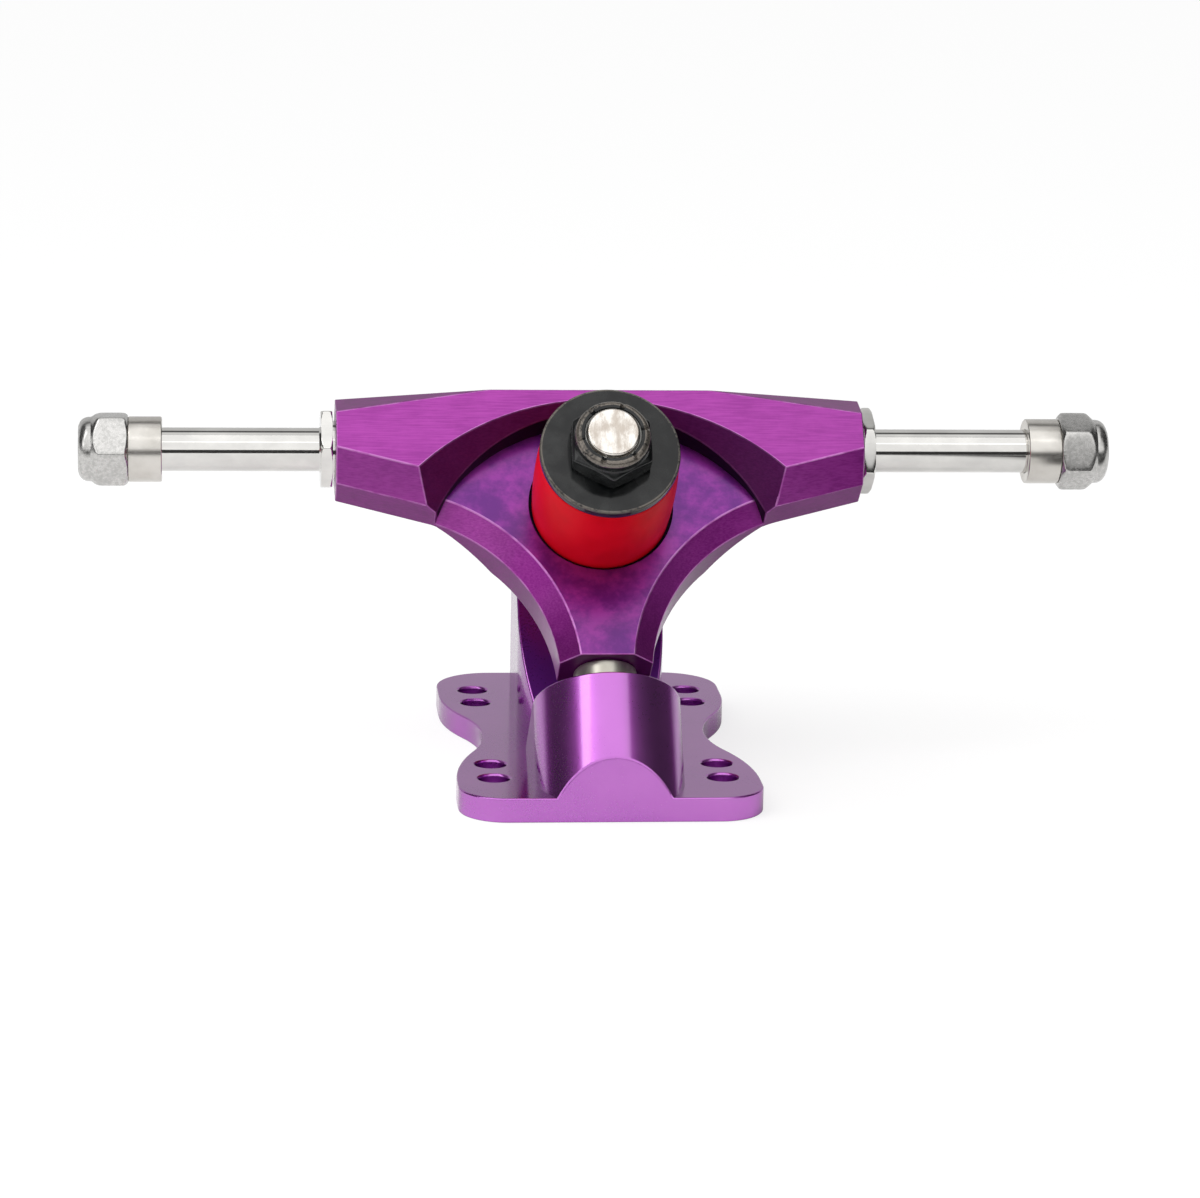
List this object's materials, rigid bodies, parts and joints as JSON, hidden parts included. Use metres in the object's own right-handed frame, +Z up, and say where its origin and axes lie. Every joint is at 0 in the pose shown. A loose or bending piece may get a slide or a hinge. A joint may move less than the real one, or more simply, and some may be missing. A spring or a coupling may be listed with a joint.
{
  "type": "skate truck",
  "caption": "Inverted-kingpin skate truck: bolt-down base plate, bushings on a leaning kingpin, a steering hanger with stub axles, spacers and lock nuts.",
  "frame": {"origin": "centre of the bolt pattern on the underside of the base plate", "axes": "+X along the axles, +Y towards the kingpin end of the plate, +Z up out of the plate"},
  "size_m": [0.1906, 0.091, 0.0722],
  "materials": {
    "anodised_plate": "satin purple anodised",
    "anodised_hanger": "brushed purple anodised",
    "polished_steel": "polished",
    "turned_steel": "turned",
    "plated_steel": "zinc plated",
    "black_steel": "gloss black",
    "red_urethane": "satin cast urethane",
    "white_plastic": "plain",
    "nylon": "plain"
  },
  "bodies": {
    "base": {"base_plate": "anodised_plate", "pivot_cup": "white_plastic", "kingpin": "polished_steel", "kingpin_head_washer": "black_steel", "road_washer": "black_steel", "road_bushing": "red_urethane", "board_bushing": "red_urethane"},
    "hanger": {"hanger": "anodised_hanger", "pivot_pin": "polished_steel", "pivot_set_screw": "black_steel", "axle_left": "polished_steel", "axle_right": "polished_steel"},
    "kingpin_nut": {"kingpin_nut": "black_steel", "kingpin_nut_insert": "nylon"},
    "spacer_left": {"spacer_left": "turned_steel"},
    "spacer_right": {"spacer_right": "turned_steel"},
    "nut_left": {"axle_nut_left": "plated_steel", "axle_nut_insert_left": "nylon"},
    "nut_right": {"axle_nut_right": "plated_steel", "axle_nut_insert_right": "nylon"}
  },
  "joints": [
    {"name": "steer", "type": "hinge", "parent": "base", "child": "hanger", "pos_m": [0, -0.0007, 0.0445], "axis": [0, 0.6428, 0.766], "range_deg": [-20, 20], "stiffness_Nm_per_rad": 40, "deforming": ["road_bushing", "board_bushing"]},
    {"name": "kingpin_nut_turn", "type": "hinge", "parent": "base", "child": "kingpin_nut", "pos_m": [0, -0.0007, 0.0445], "axis": [0, -0.766, 0.6428], "continuous": true},
    {"name": "spacer_left_slide", "type": "slide", "parent": "hanger", "child": "spacer_left", "axis": [1, 0, 0], "range_m": [0, 0.0289]},
    {"name": "spacer_right_slide", "type": "slide", "parent": "hanger", "child": "spacer_right", "axis": [-1, 0, 0], "range_m": [0, 0.0289]},
    {"name": "nut_left_turn", "type": "hinge", "parent": "hanger", "child": "nut_left", "pos_m": [-0.0865, 0.00363, 0.05744], "axis": [-1, 0, 0], "continuous": true},
    {"name": "nut_right_turn", "type": "hinge", "parent": "hanger", "child": "nut_right", "pos_m": [0.0865, 0.00363, 0.05744], "axis": [1, 0, 0], "continuous": true}
  ]
}
